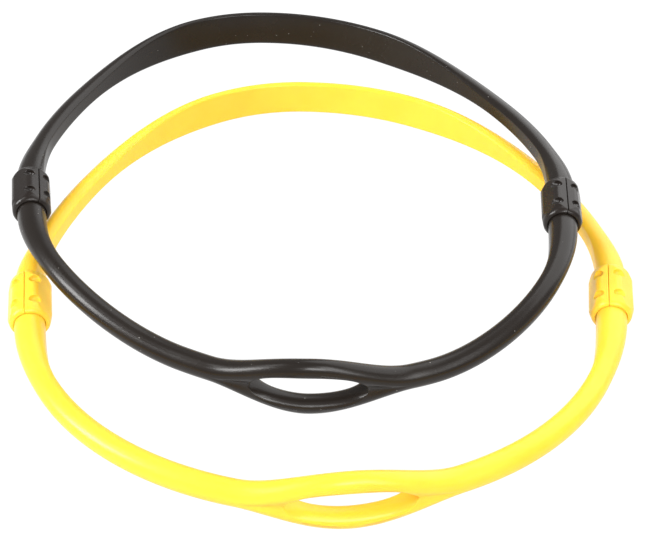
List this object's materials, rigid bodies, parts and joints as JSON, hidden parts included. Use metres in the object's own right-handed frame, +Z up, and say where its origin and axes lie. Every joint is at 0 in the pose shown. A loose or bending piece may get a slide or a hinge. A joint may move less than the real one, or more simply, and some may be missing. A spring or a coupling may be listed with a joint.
{
  "type": "pair of diving mouthpiece neck straps",
  "caption": "Yellow and black moulded silicone neck straps with hexagonal joining sleeves and a forked eye that holds a diving mouthpiece; the black one lies over the yellow one.",
  "frame": {"origin": "centre of the bottom of the bounding box of the pair as it lies, on the surface under it", "axes": "+X to the wearer's right, +Y from the mouthpiece eyes towards the nape bands, +Z up out of the plane that the pair lies on"},
  "size_m": [0.2114, 0.2546, 0.0264],
  "materials": {
    "yellow_silicone": "satin moulded silicone rubber",
    "black_silicone": "satin moulded silicone rubber",
    "yellow_plastic": "smooth satin moulded plastic",
    "black_plastic": "smooth satin moulded plastic"
  },
  "bodies": {
    "yellow_ring": {"yellow_front_strap": "yellow_silicone", "yellow_rear_strap": "yellow_silicone"},
    "yellow_left_sleeve": {"yellow_left_sleeve_inner": "yellow_plastic", "yellow_left_sleeve_outer": "yellow_plastic"},
    "yellow_right_sleeve": {"yellow_right_sleeve_inner": "yellow_plastic", "yellow_right_sleeve_outer": "yellow_plastic"},
    "black_ring": {"black_front_strap": "black_silicone", "black_rear_strap": "black_silicone"},
    "black_left_sleeve": {"black_left_sleeve_inner": "black_plastic", "black_left_sleeve_outer": "black_plastic"},
    "black_right_sleeve": {"black_right_sleeve_inner": "black_plastic", "black_right_sleeve_outer": "black_plastic"}
  },
  "joints": [
    {"name": "yellow_left_sleeve_turn", "type": "hinge", "parent": "yellow_ring", "child": "yellow_left_sleeve", "pos_m": [-0.08947, -0.04652, 0.0084], "axis": [0.2147, -0.9767, 0], "continuous": true},
    {"name": "yellow_right_sleeve_turn", "type": "hinge", "parent": "yellow_ring", "child": "yellow_right_sleeve", "pos_m": [0.09727, -0.04328, 0.0084], "axis": [-0.1942, -0.981, 0], "continuous": true},
    {"name": "black_left_sleeve_turn", "type": "hinge", "parent": "black_ring", "child": "black_left_sleeve", "pos_m": [-0.09691, -0.00249, 0.01852], "axis": [0.2309, -0.973, 0], "continuous": true},
    {"name": "black_right_sleeve_turn", "type": "hinge", "parent": "black_ring", "child": "black_right_sleeve", "pos_m": [0.08565, -0.00989, 0.01928], "axis": [-0.1349, -0.9909, 0], "continuous": true},
    {"name": "black_ring_lift", "type": "slide", "parent": "yellow_ring", "child": "black_ring", "axis": [0, 0, 1], "range_m": [0, 0.06]}
  ]
}
